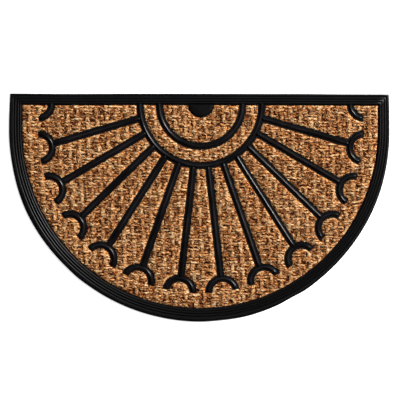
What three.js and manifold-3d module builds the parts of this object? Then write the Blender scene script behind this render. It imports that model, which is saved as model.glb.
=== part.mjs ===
// Half round doormat: a press-moulded rubber mat with woven coir between its ribs.
// Millimetres. +X runs along the straight back edge, +Y points from the round rim to that edge,
// +Z is up. The origin is on the floor, at the middle of the mat's box.

import * as THREE from 'three';
import { mergeVertices } from 'three/addons/utils/BufferGeometryUtils.js';
import Module from 'manifold-3d';

const wasm = await Module();
wasm.setup();

// The mat as a whole.
const WIDTH = 762;
const DEPTH = 457.2;
const STRAIGHT_SIDE = 76.2;
const RIM_RADIUS = WIDTH / 2;
const BACK_EDGE_Y = DEPTH / 2;
const RIM_CENTRE_Y = BACK_EDGE_Y - STRAIGHT_SIDE;

// Heights above the floor.
const BACKING_TOP = 3;
const CHANNEL_FLOOR = 5;
const BEAD_TOP = 8.6;
const HUB_TOP = 8.2;
const COIR_TOP = 10.5;
const CUT_EDGE = 2.8;

// The mould sat a little off the middle of where the mat was cut out.
const MOULD_CENTRE = { x: 1.8, y: RIM_CENTRE_Y + 2 };

// The line where coir meets the border.
const COIR_RADIUS = 355.2;
const BACK_BORDER = 23.4;
const COIR_BACK_Y = BACK_EDGE_Y - BACK_BORDER;

// Clearance between coir and rubber, beside and below.
const GAP = 0.3;

// The border, from its cut edge inwards: a steep shoulder, four ridges and a trough before the coir.
// Places are measured outwards from the coir line.
const SHOULDER = { out: 22.4, z: 5.2 };
const RIDGES = [
  { out: 20.1, top: 6.5 },
  { out: 14.8, top: 7.4 },
  { out: 9.4, top: 8.2 },
  { out: 4.9, top: 8.5 },
];
const RIDGE_FOOT = { half: 1.9, below: 1.1 };
const RIDGE_CROWN = { half: 0.8, below: 0.1 };
const TROUGH = { out: 2.4 };

// The hand-cut edge: how far it lies outside the true rim, by angle round the rim from the right.
const RIM_TRIM = [
  { angle: 0, out: 0 },
  { angle: 22, out: 0.9 },
  { angle: 38, out: 0.6 },
  { angle: 50, out: 0.7 },
  { angle: 56, out: 1.2 },
  { angle: 61, out: -0.4 },
  { angle: 66, out: 0.7 },
  { angle: 75, out: 0.9 },
  { angle: 84, out: -0.4 },
  { angle: 90, out: 0 },
  { angle: 104, out: -0.6 },
  { angle: 124, out: -0.6 },
  { angle: 130, out: 0 },
  { angle: 134, out: -0.6 },
  { angle: 156, out: 0.8 },
  { angle: 170, out: -0.5 },
  { angle: 180, out: 0 },
];

// How far the back edge sags below its highest corner, along X.
const BACK_SAG = [
  { x: -381, down: 0 },
  { x: -260, down: 0.9 },
  { x: -120, down: 0.4 },
  { x: 190, down: 1.0 },
  { x: 300, down: 1.7 },
  { x: 381, down: 1.9 },
];

// How far each side draws in where it reaches the back corners.
const DRAW_IN = { left: 2.4, right: 1.4 };

// Steps round the edge.
const BACK_STEPS = 10;
const SIDE_STEPS = 3;
const RIM_STEPS = 64;

// Ribs: a channel through the coir with a round bead along its middle.
const CHANNEL_WIDTH = 15;
const BEAD_PROFILE = [
  { side: 4.5, z: CHANNEL_FLOOR },
  { side: 3.1, z: CHANNEL_FLOOR + 2.4 },
  { side: 1.2, z: BEAD_TOP },
];

// How far the coir's cut edges are eased at the top.
const COIR_EASE = { side: 1, down: 1.2 };

// The hub and the two half rings share a centre close to the coir's back line.
const RIB_AXIS_X = 3.2;
const RING_SETBACK = 23;
const RING_CENTRE = new THREE.Vector2(RIB_AXIS_X, BACK_EDGE_Y - RING_SETBACK);
const HUB = { plateau: 21.4, shoulder: 22.6, foot: 23.2, channel: 26, bevel: 0.9, steps: 48 };
const RINGS = [
  { radius: 83.2, steps: 36 },
  { radius: 122, steps: 44 },
];

// How far the channels' floors, and the beads on them, run on into the border's trough.
const FLOOR_RUNS_ON = 1;
const BEAD_RUNS_ON = 2.6;

// Crescents stand in a row beside the border, evenly spaced round the rim and up the sides. Every
// whole one ends a spoke, and the spokes spread from a point near the back edge.
const CRESCENTS = {
  count: 14,
  pitch: 86.9,
  rowRadius: 326.7,
  radius: 27.8,
  beadHalfSpan: 81.5,
  channelHalfSpan: 85.5,
  steps: 12,
};
const FAN_SETBACK = 14.4;
const FAN_POINT = new THREE.Vector2(RIB_AXIS_X, BACK_EDGE_Y - FAN_SETBACK);

// How far a cut or a path reaches past what it has to clear, in millimetres and in degrees.
const PAST = 1;
const PAST_HALF_TURN = 4;

const degrees = THREE.MathUtils.degToRad;

// The value of one column of a table between two of its rows, eased so that no corner shows.
function eased(table, from, to, at) {
  const next = Math.max(1, table.findIndex((row) => row[from] >= at));
  const a = table[next - 1];
  const b = table[next];
  return THREE.MathUtils.lerp(a[to], b[to], THREE.MathUtils.smoothstep(at, a[from], b[from]));
}

function backSag(x) {
  return eased(BACK_SAG, 'x', 'down', THREE.MathUtils.clamp(x, -RIM_RADIUS, RIM_RADIUS));
}

// One closed line round the mat, anticlockwise from the back right corner. Reach gives the centre
// and radius of its round part, where its back lies, and how much of the sides' draw-in it takes.
function edgeLine(reach) {
  const left = reach.x - reach.radius;
  const right = reach.x + reach.radius;
  const side = (y, edge, drawIn) => {
    const up = (y - reach.y) / STRAIGHT_SIDE;
    return edge - Math.sign(edge) * drawIn * reach.drawShare * up * up;
  };
  const line = [];
  for (let i = 0; i <= BACK_STEPS; i += 1) {
    const topRight = side(reach.back, right, DRAW_IN.right);
    const topLeft = side(reach.back, left, DRAW_IN.left);
    const x = THREE.MathUtils.lerp(topRight, topLeft, i / BACK_STEPS);
    line.push(new THREE.Vector2(x, reach.back - backSag(x)));
  }
  for (let i = 1; i < SIDE_STEPS; i += 1) {
    const y = THREE.MathUtils.lerp(reach.back, reach.y, i / SIDE_STEPS);
    line.push(new THREE.Vector2(side(y, left, DRAW_IN.left), y));
  }
  for (let i = 0; i <= RIM_STEPS; i += 1) {
    const angle = 180 - (180 * i) / RIM_STEPS;
    const radius = reach.radius + reach.trim(angle);
    const x = reach.x + radius * Math.cos(degrees(angle));
    line.push(new THREE.Vector2(x, reach.y - radius * Math.sin(degrees(angle))));
  }
  for (let i = SIDE_STEPS - 1; i > 0; i -= 1) {
    const y = THREE.MathUtils.lerp(reach.back, reach.y, i / SIDE_STEPS);
    line.push(new THREE.Vector2(side(y, right, DRAW_IN.right), y));
  }
  return line;
}

// The mat's own cut outline.
function cutOutline() {
  return edgeLine({
    x: 0,
    y: RIM_CENTRE_Y,
    radius: RIM_RADIUS,
    back: BACK_EDGE_Y,
    drawShare: 1,
    trim: (angle) => eased(RIM_TRIM, 'angle', 'out', angle),
  });
}

// A line of the mould, a given distance outside the coir line.
function mouldLine(out) {
  return edgeLine({
    ...MOULD_CENTRE,
    radius: COIR_RADIUS + out,
    back: COIR_BACK_Y + out,
    drawShare: out / (RIM_RADIUS - COIR_RADIUS),
    trim: () => 0,
  });
}

// A closed skin over lines laid one inside the other, from the floor up and inwards.
function skinOver(rows) {
  const count = rows[0].line.length;
  const positions = rows.flatMap((row) => row.line.flatMap((p) => [p.x, p.y, row.z]));
  const faces = [];
  for (let row = 0; row < rows.length - 1; row += 1) {
    for (let i = 0; i < count; i += 1) {
      const a = row * count + i;
      const b = row * count + ((i + 1) % count);
      faces.push(a, b, b + count, a, b + count, a + count);
    }
  }
  const last = (rows.length - 1) * count;
  THREE.ShapeUtils.triangulateShape(rows[0].line, []).forEach(([a, b, c]) => faces.push(a, c, b));
  THREE.ShapeUtils.triangulateShape(rows.at(-1).line, [])
    .forEach(([a, b, c]) => faces.push(last + a, last + b, last + c));
  const geometry = new THREE.BufferGeometry();
  geometry.setAttribute('position', new THREE.Float32BufferAttribute(positions, 3));
  geometry.setIndex(faces);
  return geometry;
}

function toSolid(geometry) {
  const sameVertex = 1e-4;
  const bare = geometry.clone();
  bare.deleteAttribute('normal');
  bare.deleteAttribute('uv');
  const merged = mergeVertices(bare, sameVertex);
  return new wasm.Manifold(new wasm.Mesh({
    numProp: 3,
    vertProperties: new Float32Array(merged.attributes.position.array),
    triVerts: new Uint32Array(merged.index.array),
  }));
}

function joined(solids) {
  return solids.reduce((whole, solid) => whole.add(solid));
}

// The backing sheet with its ribbed border.
function backingAndBorder() {
  const outline = cutOutline();
  const rows = [
    { line: outline, z: 0 },
    { line: outline, z: CUT_EDGE },
    { line: mouldLine(SHOULDER.out), z: SHOULDER.z },
  ];
  RIDGES.forEach(({ out, top }) => {
    const foot = top - RIDGE_FOOT.below;
    const crown = top - RIDGE_CROWN.below;
    rows.push(
      { line: mouldLine(out + RIDGE_FOOT.half), z: foot },
      { line: mouldLine(out + RIDGE_CROWN.half), z: crown },
      { line: mouldLine(out - RIDGE_CROWN.half), z: crown },
      { line: mouldLine(out - RIDGE_FOOT.half), z: foot },
    );
  });
  rows.push(
    { line: mouldLine(TROUGH.out), z: CHANNEL_FLOOR },
    { line: mouldLine(GAP), z: CHANNEL_FLOOR },
    { line: mouldLine(GAP), z: BACKING_TOP },
  );
  return toSolid(skinOver(rows));
}

// A level arc, from one angle to another.
class LevelArc extends THREE.Curve {
  constructor(centre, radius, from, to) {
    super();
    Object.assign(this, { centre, radius, from, to });
  }

  getPoint(t, target = new THREE.Vector3()) {
    const angle = degrees(THREE.MathUtils.lerp(this.from, this.to, t));
    return target.set(
      this.centre.x + this.radius * Math.cos(angle),
      this.centre.y + this.radius * Math.sin(angle),
      0,
    );
  }
}

// A section swept along a level path. Its corners say how far beside the path and how high they lie.
function sweep(corners, path, steps) {
  const shape = new THREE.Shape(corners.map(({ side, z }) => new THREE.Vector2(-z, side)));
  const geometry = new THREE.ExtrudeGeometry(shape, { extrudePath: path, steps, bevelEnabled: false });
  return toSolid(geometry);
}

function mirroredSection(half) {
  return [...half, ...half.map(({ side, z }) => ({ side: -side, z })).reverse()];
}

// The rubber between two coir edges, up to the channel's floor.
const CHANNEL_SECTION = mirroredSection([
  { side: CHANNEL_WIDTH / 2 - GAP, z: BACKING_TOP / 2 },
  { side: CHANNEL_WIDTH / 2 - GAP, z: CHANNEL_FLOOR },
]);

// The bead on that floor.
const BEAD_SECTION = mirroredSection([
  { side: BEAD_PROFILE[0].side, z: BACKING_TOP },
  ...BEAD_PROFILE,
]);

// What a channel takes out of the coir, wider towards the top where the cut edge is eased.
const SLOT_SECTION = mirroredSection([
  { side: CHANNEL_WIDTH / 2, z: 0 },
  { side: CHANNEL_WIDTH / 2, z: COIR_TOP - COIR_EASE.down },
  { side: CHANNEL_WIDTH / 2 + 2 * COIR_EASE.side, z: COIR_TOP + COIR_EASE.down },
]);

// Each crescent's place, the direction it opens in, and whether a spoke reaches it. A place past
// the end of the row's round part lies straight above that end.
function crescentPlaces() {
  const quarter = (CRESCENTS.rowRadius * Math.PI) / 2;
  return Array.from({ length: CRESCENTS.count }, (_, i) => {
    const along = (i - (CRESCENTS.count - 1) / 2) * CRESCENTS.pitch;
    const round = THREE.MathUtils.clamp(along, -quarter, quarter);
    const opens = -90 + THREE.MathUtils.radToDeg(round / CRESCENTS.rowRadius);
    const centre = new THREE.Vector2(
      RIB_AXIS_X + CRESCENTS.rowRadius * Math.cos(degrees(opens)),
      MOULD_CENTRE.y + CRESCENTS.rowRadius * Math.sin(degrees(opens)) + Math.abs(along - round),
    );
    return { opens, centre, hasSpoke: i > 0 && i < CRESCENTS.count - 1 };
  });
}

// Half a ring, and a little more to run into the border.
function ringPath(radius) {
  return new LevelArc(RING_CENTRE, radius, -180 - PAST_HALF_TURN, PAST_HALF_TURN);
}

function crescentPath({ opens, centre }, halfSpan) {
  const middle = opens + 180;
  return new LevelArc(centre, CRESCENTS.radius, middle - halfSpan, middle + halfSpan);
}

// From the outer ring's middle to the crescent's, along a line from the fan point.
function spokePath({ centre }) {
  const along = centre.clone().sub(FAN_POINT).normalize();
  const toRing = RING_CENTRE.clone().sub(FAN_POINT);
  const nearest = toRing.dot(along);
  const ringRadius = RINGS.at(-1).radius;
  const start = nearest + Math.sqrt(ringRadius ** 2 - toRing.lengthSq() + nearest ** 2);
  const end = centre.distanceTo(FAN_POINT) - CRESCENTS.radius;
  const at = (distance) => {
    const p = FAN_POINT.clone().addScaledVector(along, distance);
    return new THREE.Vector3(p.x, p.y, 0);
  };
  return new THREE.LineCurve3(at(start), at(end));
}

// Every rib of the pattern, swept with one section.
function ribs(section, crescentHalfSpan) {
  const places = crescentPlaces();
  const rings = RINGS.map(({ radius, steps }) => sweep(section, ringPath(radius), steps));
  const spoked = places.filter((place) => place.hasSpoke);
  const spokes = spoked.map((place) => sweep(section, spokePath(place), 1));
  const crescents = places.map((place) => (
    sweep(section, crescentPath(place, crescentHalfSpan), CRESCENTS.steps)
  ));
  return joined([...rings, ...spokes, ...crescents]);
}

// A round boss turned about the hub's middle, from points that say how far out and how high.
function boss(profile) {
  const points = profile.map(({ out, z }) => new THREE.Vector2(out, z));
  const geometry = new THREE.LatheGeometry(points, HUB.steps);
  geometry.rotateX(Math.PI / 2);
  geometry.translate(RING_CENTRE.x, RING_CENTRE.y, 0);
  return toSolid(geometry);
}

// The hub's floor, level with the channels, and the plateau that stands on it.
function hub() {
  const floor = boss([
    { out: 0, z: BACKING_TOP / 2 },
    { out: HUB.channel - GAP, z: BACKING_TOP / 2 },
    { out: HUB.channel - GAP, z: CHANNEL_FLOOR },
    { out: 0, z: CHANNEL_FLOOR },
  ]);
  const plateau = boss([
    { out: 0, z: BACKING_TOP },
    { out: HUB.foot, z: BACKING_TOP },
    { out: HUB.foot, z: CHANNEL_FLOOR },
    { out: HUB.shoulder, z: HUB_TOP - HUB.bevel },
    { out: HUB.plateau, z: HUB_TOP },
    { out: 0, z: HUB_TOP },
  ]);
  return { floor, plateau };
}

// What of a solid lies inside one line of the mould.
function insideLine(solid, out) {
  const line = mouldLine(out);
  return solid.intersect(toSolid(skinOver([{ line, z: 0 }, { line, z: BEAD_TOP + PAST }])));
}

function mouldedRubber() {
  const { floor, plateau } = hub();
  const floors = joined([ribs(CHANNEL_SECTION, CRESCENTS.channelHalfSpan), floor]);
  const beads = ribs(BEAD_SECTION, CRESCENTS.beadHalfSpan);
  return joined([
    backingAndBorder(),
    insideLine(floors, FLOOR_RUNS_ON),
    insideLine(beads, BEAD_RUNS_ON),
    insideLine(plateau, -GAP),
  ]);
}

// Woven coir inside the border, less the channels, with its cut edges eased at the top.
function allCoir() {
  const rows = [
    { line: mouldLine(0), z: BACKING_TOP + GAP },
    { line: mouldLine(0), z: COIR_TOP - COIR_EASE.down },
    { line: mouldLine(-COIR_EASE.side), z: COIR_TOP },
  ];
  const endGap = THREE.MathUtils.radToDeg(GAP / CRESCENTS.radius);
  const slots = ribs(SLOT_SECTION, CRESCENTS.channelHalfSpan + endGap);
  const hubHole = boss([
    { out: 0, z: 0 },
    { out: HUB.channel, z: 0 },
    { out: HUB.channel, z: COIR_TOP - COIR_EASE.down },
    { out: HUB.channel + 2 * COIR_EASE.side, z: COIR_TOP + COIR_EASE.down },
    { out: 0, z: COIR_TOP + COIR_EASE.down },
  ]);
  return toSolid(skinOver(rows)).subtract(slots).subtract(hubHole);
}

// The coir that lies within a radius of the hub's middle, and the coir outside it.
function splitAt(solid, radius) {
  const disc = boss([
    { out: 0, z: 0 },
    { out: radius, z: 0 },
    { out: radius, z: COIR_TOP + PAST },
    { out: 0, z: COIR_TOP + PAST },
  ]);
  return { inner: solid.intersect(disc), outer: solid.subtract(disc) };
}

function toMesh(name, solid, material) {
  const { vertProperties, triVerts } = solid.getMesh();
  const geometry = new THREE.BufferGeometry();
  geometry.setAttribute('position', new THREE.BufferAttribute(vertProperties, 3));
  geometry.setIndex(new THREE.BufferAttribute(triVerts, 1));
  geometry.computeVertexNormals();
  const mesh = new THREE.Mesh(geometry, material);
  mesh.name = name;
  return mesh;
}

const rubber = new THREE.MeshStandardMaterial({ color: 0x18181a, roughness: 0.6, metalness: 0 });
const coir = new THREE.MeshStandardMaterial({ color: 0xb98250, roughness: 0.95, metalness: 0 });

const [innerRing, outerRing] = RINGS;
const centre = splitAt(allCoir(), innerRing.radius);
const band = splitAt(centre.outer, outerRing.radius);

const doormat = new THREE.Group();
doormat.add(
  toMesh('moulded_rubber', mouldedRubber(), rubber),
  toMesh('coir_centre', centre.inner, coir),
  toMesh('coir_band', band.inner, coir),
  toMesh('coir_field', band.outer, coir),
);

export default doormat;
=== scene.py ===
"""The looks of a half round doormat: one moulding of black rubber, filled with woven coir."""

import math

import bmesh
import bpy
import numpy as np
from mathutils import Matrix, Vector


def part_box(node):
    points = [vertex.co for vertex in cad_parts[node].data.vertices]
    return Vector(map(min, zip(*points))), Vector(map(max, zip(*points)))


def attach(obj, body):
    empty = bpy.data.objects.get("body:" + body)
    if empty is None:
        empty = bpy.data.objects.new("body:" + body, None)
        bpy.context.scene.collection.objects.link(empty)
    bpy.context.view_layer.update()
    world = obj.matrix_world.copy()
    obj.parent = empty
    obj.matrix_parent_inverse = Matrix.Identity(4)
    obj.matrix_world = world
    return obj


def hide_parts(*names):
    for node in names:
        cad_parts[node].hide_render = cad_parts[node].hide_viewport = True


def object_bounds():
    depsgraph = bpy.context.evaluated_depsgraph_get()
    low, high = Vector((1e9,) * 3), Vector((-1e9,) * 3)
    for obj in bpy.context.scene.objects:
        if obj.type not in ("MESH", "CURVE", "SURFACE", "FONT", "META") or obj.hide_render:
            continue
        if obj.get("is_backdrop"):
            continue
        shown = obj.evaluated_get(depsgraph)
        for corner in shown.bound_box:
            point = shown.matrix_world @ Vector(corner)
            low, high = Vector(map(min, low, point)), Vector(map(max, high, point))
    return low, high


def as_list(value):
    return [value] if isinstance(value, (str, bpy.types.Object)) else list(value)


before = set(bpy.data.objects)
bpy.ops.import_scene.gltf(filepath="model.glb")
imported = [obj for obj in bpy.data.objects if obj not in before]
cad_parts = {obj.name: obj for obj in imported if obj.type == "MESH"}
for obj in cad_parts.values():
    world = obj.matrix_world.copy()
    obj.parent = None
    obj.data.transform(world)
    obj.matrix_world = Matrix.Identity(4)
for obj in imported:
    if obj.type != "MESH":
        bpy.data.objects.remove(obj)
CAD_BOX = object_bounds()

# Everything below is in millimetres until it becomes a mesh.
MM = 0.001
CREASE = math.radians(50)
RUBBER_NODE = "moulded_rubber"
COIR_NODES = ("coir_centre", "coir_band", "coir_field")
RUBBER_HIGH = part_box(RUBBER_NODE)[1] / MM
COIR_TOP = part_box("coir_field")[1].z / MM

# The mat as a whole.
RIM_RADIUS = RUBBER_HIGH.x
BACK_EDGE_Y = RUBBER_HIGH.y
STRAIGHT_SIDE = 76.2
RIM_CENTRE = (0.0, BACK_EDGE_Y - STRAIGHT_SIDE)
MOULD_CENTRE = (1.8, RIM_CENTRE[1] + 2.0)
COIR_RADIUS = 355.2
COIR_BACK_Y = BACK_EDGE_Y - 23.4
GAP = 0.3

# Heights above the floor.
BACKING_TOP = 3.0
CHANNEL_FLOOR = 5.0
BEAD_TOP = 8.6
HUB_TOP = 8.2
CUT_EDGE = 2.8

# The border, inwards from its cut edge. Places are measured outwards from the coir line.
SHOULDER = {"out": 22.4, "z": 5.2}
RIDGES = (
    {"out": 20.1, "top": 6.5},
    {"out": 14.8, "top": 7.4},
    {"out": 9.4, "top": 8.2},
    {"out": 4.9, "top": 8.5},
)
RIDGE = {"half": 2.1, "rise": 1.2, "steps": 8, "power": 3.0}
TROUGH_OUT = 2.4

# The hand-cut edge: how far it lies outside the true rim, by degrees round it from the right, how far the
# straight edge sags below its line, and how far each side is drawn in at its top.
RIM_TRIM = {
    "angle": (0, 22, 38, 50, 56, 61, 66, 75, 84, 90, 104, 124, 130, 134, 156, 170, 180),
    "out": (0, 0.9, 0.6, 0.7, 1.2, -0.4, 0.7, 0.9, -0.4, 0, -0.6, -0.6, 0, -0.6, 0.8, -0.5, 0),
}
BACK_SAG = {"x": (-381, -260, -120, 190, 300, 381), "down": (0, 0.9, 0.4, 1.0, 1.7, 1.9)}
DRAW_IN = {"left": 2.4, "right": 1.4}
BACK_STEPS, SIDE_STEPS, RIM_STEPS = 60, 8, 200

# Ribs: a channel through the coir with a round bead along its middle, rounded off over its nose.
CHANNEL_WIDTH = 15.0
BEAD = {"half": 4.0, "rise": BEAD_TOP - CHANNEL_FLOOR, "below": 0.8, "power": 2.0, "nose": 4.0, "sides": 16}
# A bead is polished, and given a painted sheen, down to this depth, wavers a little by a noise of so many
# features a metre, and on a spoke runs this far into the ring's.
CROWN = 1.8
BEAD_WAVER = {"amount": 0.9, "scale": 28.0}
SPOKE_OVERLAP = 2.0
# Steps along a rib, and the closer ones over a nose, as shares of its length.
PATH_STEP = 4.0
NOSE_STEPS = (0.02, 0.1, 0.25, 0.45, 0.7)
RIB_AXIS_X = 3.2
RING_CENTRE = (RIB_AXIS_X, BACK_EDGE_Y - 23.0)
RING_RADII = (83.2, 122.0)
HUB = {"plateau": 21.4, "bevel": 22.4, "shoulder": 22.8, "foot": 23.2, "channel": 26.0, "steps": 96}
HUB_DROP = {"shoulder": 0.8, "bevel": 0.25}
CRESCENTS = {
    "count": 14,
    "pitch": 86.9,
    "row_radius": 326.7,
    "radius": 27.8,
    "bead_half_span": 81.5,
    "channel_half_span": 85.5,
}
# Where the spokes' lines meet, and how far floors and beads run on under the border along the back.
FAN_POINT = (RIB_AXIS_X, BACK_EDGE_Y - 14.4)
FLOOR_RUNS_ON, BEAD_RUNS_ON = 1.0, 2.6

# The weave: pairs of weft yarns along X pass over and under one thick warp along Y by turns. For each
# yarn: the length between two dips, the section, how deep the ends dip, how far its top lies below the
# highest yarns, the twist in turns, the steps along it, and how many lie side by side. Warps lean sideways
# by a share of their way, and spare cells beyond the mat's edge allow for that.
WARP_PITCH = 19.4
WEFT_PITCH = 6.2
WARP_LEAN = -0.06
SPARE_CELLS = 2
WEFT = {
    "length": 31.0,
    "width": 7.4,
    "height": 5.0,
    "dive": 5.0,
    "sunk": 0.0,
    "turns": 1.8,
    "steps": 11,
    "abreast": 2,
}
WARP = {
    "length": 17.0,
    "width": 12.5,
    "height": 5.2,
    "dive": 3.4,
    "sunk": 0.8,
    "turns": 0.6,
    "steps": 7,
    "abreast": 1,
}
PLY = {"sides": 8, "waist": 0.42}
# Along a stretch of yarn: the power that its hump falls by, and how thick its ends still are.
HUMP = {"power": 2.2, "end_size": 0.6}
YARN_CREST = COIR_TOP - 0.3
LOWEST_YARN = 3.6
# The bed's top, and a rise and tint so low that they paint the bed dark, as shade between the yarns.
BED = {"top": 5.2, "rise": 0.1, "tint": 0.3}
# Towards a cut edge the coir is pressed down over this width, to this share of its height, and its painted
# shade is lifted a little there. The yarns are cut this far inside the bed's edge, by a block from below the
# floor upwards.
EDGE_EASE = {"width": 11.0, "power": 3.0, "height_kept": 0.1, "painted_shade_lifted": 0.1}
YARN_CUT = {"inside": 0.5, "below": 5.0, "height": 30.0}
# A real coir fibre is 0.1 to 0.4 mm thick. These are drawn thicker, so that they show.
FIBRE = {"length": 10.0, "radius": 0.42, "bend": 0.35, "sides": 3, "steps": 3, "rise": 1.0, "end_drop": 0.5}
FIBRES_PER_SQUARE_METRE = {"yarn": 70000.0, "stray": 52000.0}
STRAY_LIFT = 4.3
# The most that a fibre turns off its yarn, in radians, and the power that keeps most turns small.
FIBRE_TURN = {"most": 1.6, "power": 3.0}

# Noises that move things: the size of their features, the most they move along X, Y and Z, and a seed.
SHAKES = {
    "rows of yarn": {"size": 60.0, "most": (4.0, 4.0, 0.0), "seed": 3.0},
    "single yarns": {"size": 12.0, "most": (3.0, 2.0, 0.6), "seed": 4.0},
    "yarn surface": {"size": 3.0, "most": (0.8, 0.8, 0.8), "seed": 5.0},
    "fibres": {"size": 4.0, "most": (0.8, 0.8, 0.8), "seed": 9.0},
}

# Random draws: angles in radians, and sizes as shares of the length, the width and the height. A fibre's
# turn is a share of the most that it turns.
YARN_DRAWS = {
    "turn": {"low": -0.16, "high": 0.16, "seed": 11},
    "size": {"low": (0.9, 0.8, 0.8), "high": (1.12, 1.15, 1.12), "seed": 13},
    "tint": {"low": 0.1, "high": 0.9, "seed": 14},
}
FIBRE_DRAWS = {
    "turn": {"low": -1.0, "high": 1.0, "seed": 21},
    "roll": {"low": -0.5, "high": 0.5, "seed": 23},
    "pitch": {"low": -0.15, "high": 0.15, "seed": 24},
    "size": {"low": (0.5, 0.2, 0.5), "high": (1.3, 1.1, 1.5), "seed": 25},
    "tint": {"low": -0.7, "high": 1.5, "seed": 26},
}
FLIP_SEED = 22

# A face looks down or up where its normal's height is below the first or above the second.
FACES_DOWN, FACES_UP = -0.9, 0.5
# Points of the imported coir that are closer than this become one.
WELD = 0.01

# Material patterns: sizes across and depths in millimetres. On a bead's crown a painted sheen shifts the
# rubber along its colours towards grey, and polishing changes its roughness.
RUBBER_FACE = {"cloud": 60.0, "patch": 14.0, "grain": 1.2, "depth": 0.12}
RUBBER_ROUGHNESS = {"moulded": 0.33, "patchy": 0.12}
SHEEN_AND_POLISH = {"painted_sheen": 0.4, "rougher": -0.2}
RUBBER_COLOURS = ((0.3, "050506"), (0.7, "08080a"), (0.9, "1c1c20"))
STRANDS = {"size": 1.1, "stretch": (0.85, 1.0, 1.0), "depth": 0.8}
WISPS = {"size": 2.6, "depth": 4.0}
# How much each thing lightens the coir's colour, and the value of it that changes nothing.
COIR_SHADES = {
    "strands": {"weight": 2.4, "even": 0.5},
    "wisps": {"weight": 2.7, "even": 0.5},
    "tint": {"weight": 0.45, "even": 0.42},
    # Rise paints shade: the lower the coir lies in the weave, the darker its colour.
    "rise": {"weight": 0.62, "even": 0.73},
}
COIR_COLOURS = ((0.08, "2a0900"), (0.3, "8e3f0b"), (0.5, "d27f3a"), (0.7, "dea45e"), (0.98, "e6cca2"))
BLEACHED_COIR = "bf986a"

# The studio: angles in degrees, the lamp's distance and size in metres, its power in watts, and how far the
# camera sees in metres. The room's shades run from the horizon under the lamp to overhead.
LAMP = {"turn": 35.0, "rise": 40.0, "away": 10.0, "size": 2.3, "power": 2110, "colour": (1.0, 0.99, 0.97)}
ROOM = {"lean": 0.35, "strength": 0.9}
ROOM_SHADES = ((0.0, "707274"), (0.35, "585a5c"), (0.75, "1c1e22"))
FLOOR = {"reach": 6000.0, "below": 0.1}
CAMERA = {"lens": 200, "x": 1.4, "y": 15.0, "frame_width": 800.0, "face_height": 6.0, "sees": 100}


def add(tree, kind, inputs=(), output=None, **settings):
    """Adds a node with its settings, sets or links its inputs, and returns one of its outputs."""
    node = tree.nodes.new(kind)
    for name, value in settings.items():
        setattr(node, name, value)
    for key, value in dict(inputs).items():
        live = [s for s in node.inputs if s.enabled]
        socket = live[key] if isinstance(key, int) else next(s for s in live if s.name == key)
        if isinstance(value, bpy.types.NodeSocket):
            tree.links.new(value, socket)
        else:
            socket.default_value = value
    live = [s for s in node.outputs if s.enabled]
    return next((s for s in live if s.name == output), live[0]) if live else node


# Shapes and lines


def eased(table, key, value, at):
    """The table's value at a place between two of its rows, eased so that no corner shows."""
    places, values = np.array(table[key], float), np.array(table[value], float)
    row = np.clip(np.searchsorted(places, at), 1, len(places) - 1)
    share = np.clip((at - places[row - 1]) / (places[row] - places[row - 1]), 0, 1)
    return values[row - 1] + (values[row] - values[row - 1]) * share**2 * (3 - 2 * share)


def edge_line(centre, radius, back, draw_share, trim):
    """One closed line round the mat, anticlockwise from its back right corner."""
    left, right = centre[0] - radius, centre[0] + radius

    def side(y, edge, draw_in):
        up = (y - centre[1]) / STRAIGHT_SIDE
        return edge - np.sign(edge) * draw_in * draw_share * up**2

    corner_right = side(back, right, DRAW_IN["right"])
    corner_left = side(back, left, DRAW_IN["left"])
    x = np.linspace(corner_right, corner_left, BACK_STEPS + 1)
    back_line = np.stack([x, back - eased(BACK_SAG, "x", "down", x)], 1)
    y = np.linspace(back, centre[1], SIDE_STEPS + 1)[1:-1]
    left_line = np.stack([side(y, left, DRAW_IN["left"]), y], 1)
    right_line = np.stack([side(y, right, DRAW_IN["right"]), y], 1)[::-1]
    angle = np.linspace(180, 0, RIM_STEPS + 1)
    reach = radius + trim(angle)
    turn = np.radians(angle)
    rim = np.stack([centre[0] + reach * np.cos(turn), centre[1] - reach * np.sin(turn)], 1)
    return np.concatenate([back_line, left_line, rim, right_line])


def cut_outline():
    """The mat's own outline, as it was cut by hand."""
    return edge_line(
        RIM_CENTRE, RIM_RADIUS, BACK_EDGE_Y, 1.0, lambda angle: eased(RIM_TRIM, "angle", "out", angle)
    )


def mould_line(out):
    """A line of the mould, a given distance outside the line where coir meets the border."""
    share = out / (RIM_RADIUS - COIR_RADIUS)
    return edge_line(MOULD_CENTRE, COIR_RADIUS + out, COIR_BACK_Y + out, share, lambda angle: 0 * angle)


def mesh_object(name, points, edges=(), faces=()):
    """An object at the origin whose mesh has these points, given in millimetres."""
    mesh = bpy.data.meshes.new(name)
    mesh.from_pydata((np.asarray(points, float) * MM).tolist(), list(edges), list(faces))
    made = bpy.data.objects.new(name, mesh)
    bpy.context.scene.collection.objects.link(made)
    return made


def object_from(bm, name):
    """An object at the origin from a bmesh, which is then freed."""
    mesh = bpy.data.meshes.new(name)
    bm.to_mesh(mesh)
    bm.free()
    made = bpy.data.objects.new(name, mesh)
    bpy.context.scene.collection.objects.link(made)
    return made


def loft(name, rows):
    """A closed skin over (line, height) rows, from the floor up and inwards."""
    count = len(rows[0][0])
    points = np.concatenate([np.column_stack([line, np.full(count, z)]) for line, z in rows])
    faces = [tuple(range(count - 1, -1, -1))]
    for row in range(len(rows) - 1):
        start = row * count
        for i in range(count):
            a, b = start + i, start + (i + 1) % count
            faces.append((a, b, b + count, a + count))
    last = (len(rows) - 1) * count
    faces.append(tuple(range(last, last + count)))
    return mesh_object(name, points, faces=faces)


def arc(centre, radius, start, end):
    """A function that gives the point of a level arc at a share of its way, and the arc's length."""
    length = radius * abs(math.radians(end - start))

    def at(share):
        angle = np.radians(start + (end - start) * share)
        return np.stack([centre[0] + radius * np.cos(angle), centre[1] + radius * np.sin(angle)], 1)

    return at, length


def straight(start, end):
    """The same for a straight path."""
    start, end = np.array(start), np.array(end)
    return lambda share: start + (end - start) * share[:, None], float(np.linalg.norm(end - start))


# Where the ribs run


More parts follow.
